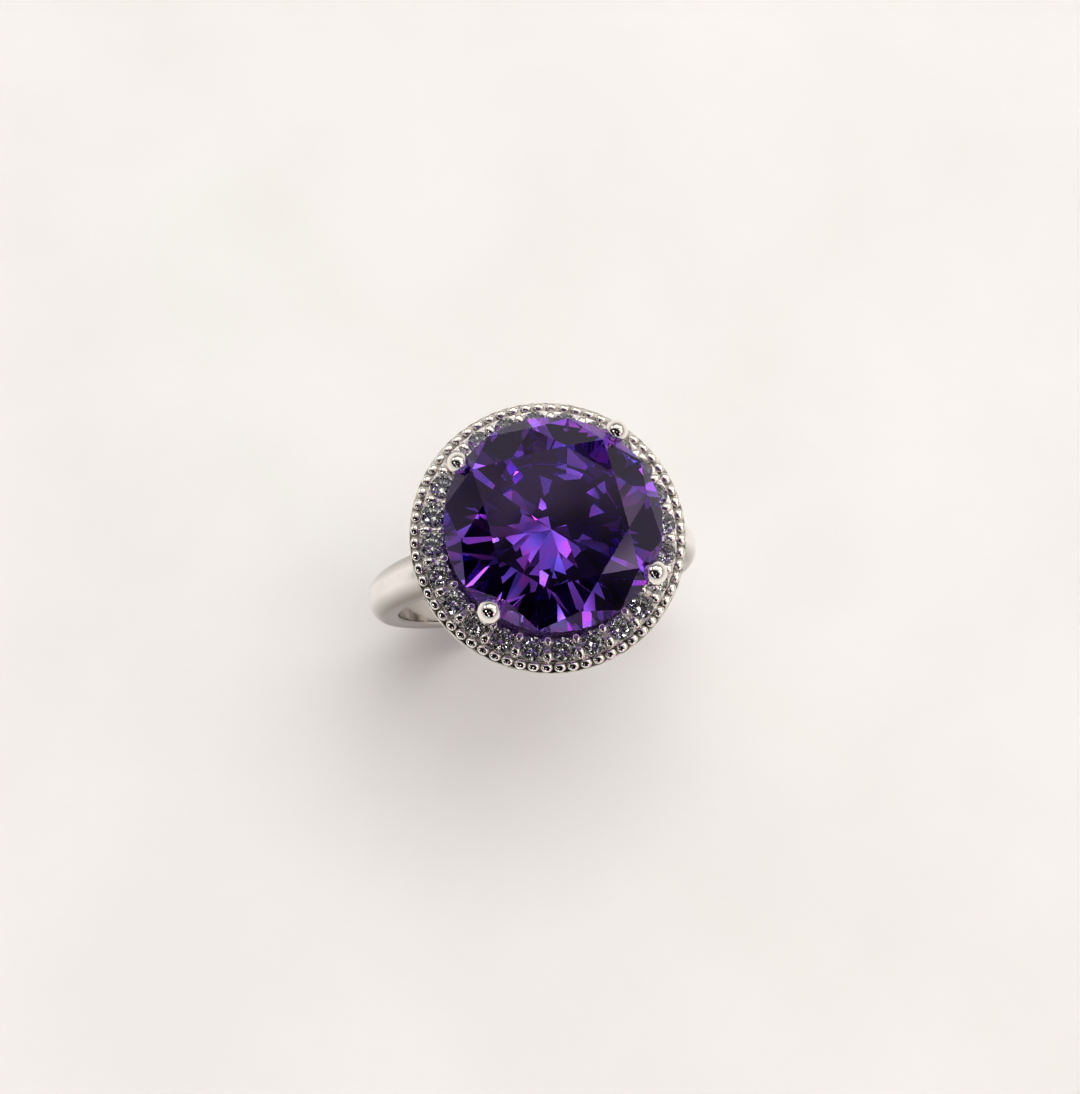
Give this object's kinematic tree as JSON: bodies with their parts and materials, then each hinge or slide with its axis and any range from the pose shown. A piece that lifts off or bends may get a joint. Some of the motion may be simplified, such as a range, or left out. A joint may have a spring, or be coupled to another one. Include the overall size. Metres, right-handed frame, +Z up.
{
  "type": "cocktail ring",
  "caption": "Cocktail ring with a large round faceted violet stone in ball-tipped claws above a beaded halo of small clear stones, on a plain D-section band worn over a finger.",
  "frame": {"origin": "centre of the finger hole, midway across the band", "axes": "+Y along the finger, +X from shoulder to shoulder, +Z up through the head to the table of the centre stone"},
  "size_m": [0.0212, 0.0156, 0.0269],
  "materials": {
    "silver": "mirror-polished silver, rhodium bright",
    "violet_zirconia": "polished facets, deep violet, transparent",
    "clear_zirconia": "polished facets, colourless, transparent"
  },
  "bodies": {
    "root": {"shank": "silver", "base_rail": "silver", "gallery_rail": "silver", "claw_back_right": "silver", "claw_back_left": "silver", "claw_front_left": "silver", "claw_front_right": "silver", "halo_tray": "silver", "halo_rim": "silver", "centre_stone": "violet_zirconia", "halo_stone_01": "clear_zirconia", "halo_stone_02": "clear_zirconia", "halo_stone_03": "clear_zirconia", "halo_stone_04": "clear_zirconia", "halo_stone_05": "clear_zirconia", "halo_stone_06": "clear_zirconia", "halo_stone_07": "clear_zirconia", "halo_stone_08": "clear_zirconia", "halo_stone_09": "clear_zirconia", "halo_stone_10": "clear_zirconia", "halo_stone_11": "clear_zirconia", "halo_stone_12": "clear_zirconia", "halo_stone_13": "clear_zirconia", "halo_stone_14": "clear_zirconia", "halo_stone_15": "clear_zirconia", "halo_stone_16": "clear_zirconia", "halo_stone_17": "clear_zirconia", "halo_stone_18": "clear_zirconia", "halo_stone_19": "clear_zirconia", "halo_stone_20": "clear_zirconia", "halo_stone_21": "clear_zirconia", "halo_stone_22": "clear_zirconia", "halo_stone_23": "clear_zirconia", "halo_stone_24": "clear_zirconia"}
  },
  "joints": []
}
